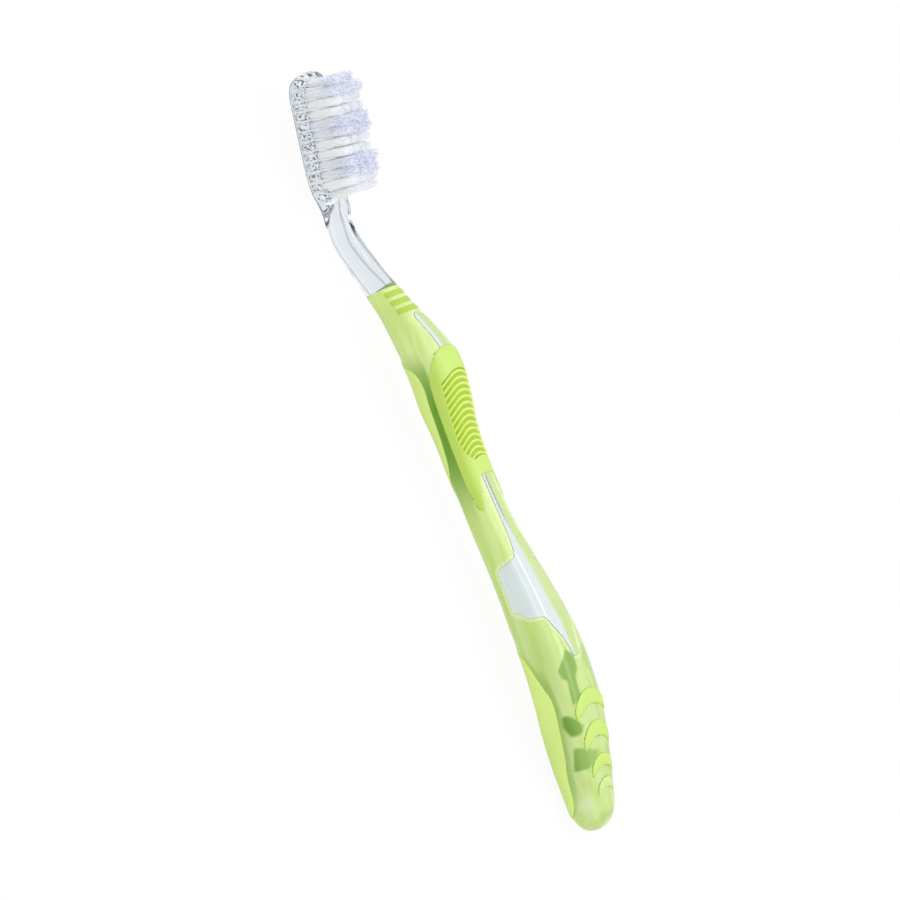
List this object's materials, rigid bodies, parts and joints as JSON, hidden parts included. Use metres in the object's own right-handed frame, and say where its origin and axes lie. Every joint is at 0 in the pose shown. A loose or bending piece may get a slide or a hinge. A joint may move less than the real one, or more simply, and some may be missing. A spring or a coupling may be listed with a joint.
{
  "type": "manual toothbrush",
  "caption": "Manual toothbrush with a clear tufted head and neck, a translucent green handle, soft ribbed lime grips and crescent grips at the tail.",
  "frame": {"origin": "centre of the bounding box in X and Y, on the plane that the brush lies on; it lies on its back, on the back of the neck and of the tail", "axes": "+X along the brush from the head to the tail, +Z out of the front, the way the bristles point, +Y across; the plane y = 0 is the mirror plane"},
  "size_m": [0.1899, 0.0166, 0.0226],
  "materials": {
    "clear_plastic": "clear, polished",
    "green_plastic": "translucent, polished",
    "dark_green_plastic": "translucent, polished",
    "soft_lime": "soft satin thermoplastic rubber",
    "white_nylon": "satin filaments",
    "blue_nylon": "satin crimped filaments, pale lavender blue",
    "anchor_metal": "bright strip"
  },
  "bodies": {
    "root": {"handle_core": "clear_plastic", "green_jacket": "green_plastic", "thumb_grip": "soft_lime", "back_grip": "soft_lime", "neck_ribs": "soft_lime", "tail_key": "dark_green_plastic", "tail_grip_1": "soft_lime", "tail_grip_2": "soft_lime", "tail_grip_3": "soft_lime", "tail_grip_4": "soft_lime", "tuft_anchors": "anchor_metal", "tuft_row_01": "blue_nylon", "tuft_row_02": "blue_nylon", "tuft_row_03": "white_nylon", "tuft_row_04": "white_nylon", "tuft_row_05": "blue_nylon", "tuft_row_06": "blue_nylon", "tuft_row_07": "white_nylon", "tuft_row_08": "white_nylon", "tuft_row_09": "blue_nylon", "tuft_row_10": "blue_nylon", "tuft_row_11": "white_nylon", "tuft_row_12": "white_nylon"}
  },
  "joints": []
}
